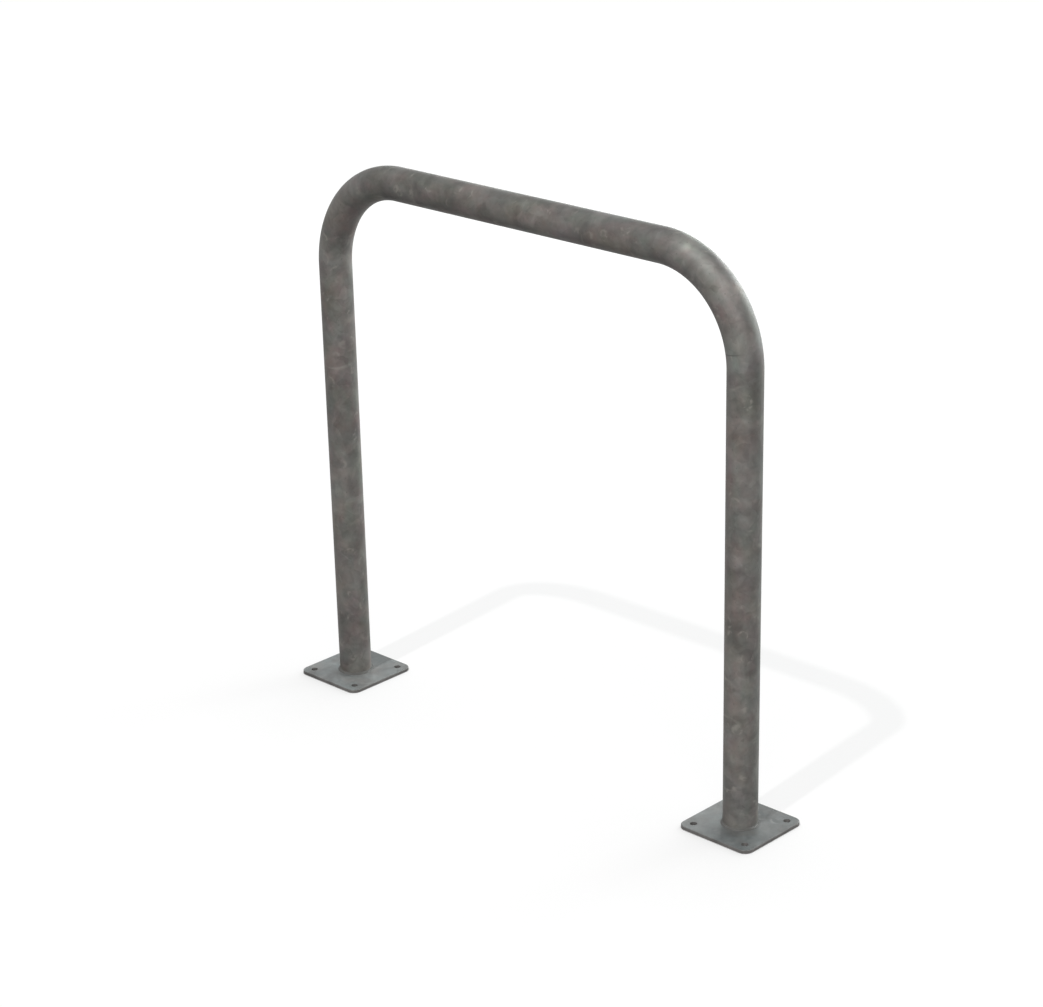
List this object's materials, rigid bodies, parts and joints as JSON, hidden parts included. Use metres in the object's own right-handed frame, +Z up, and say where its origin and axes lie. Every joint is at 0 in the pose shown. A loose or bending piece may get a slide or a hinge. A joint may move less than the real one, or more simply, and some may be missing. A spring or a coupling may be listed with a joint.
{
  "type": "hoop bike rack",
  "caption": "Upside-down U of round galvanised steel tube, standing on square base plates with anchor holes, for locking bicycles to.",
  "frame": {"origin": "on the ground, midway between the two feet, under the middle of the crossbar", "axes": "+X along the hoop from the left foot to the right one, +Y through it, +Z up"},
  "size_m": [0.889, 0.122, 0.814],
  "materials": {
    "galvanised_tube": "hot-dip galvanised, weathered to a mottled warm grey, satin",
    "galvanised_plate": "hot-dip galvanised, cool light grey, satin",
    "galvanised_weld": "rippled weld under the zinc coat, satin"
  },
  "bodies": {
    "root": {"hoop_tube": "galvanised_tube", "base_plate_left": "galvanised_plate", "base_plate_right": "galvanised_plate", "weld_bead_left": "galvanised_weld", "weld_bead_right": "galvanised_weld"}
  },
  "joints": []
}
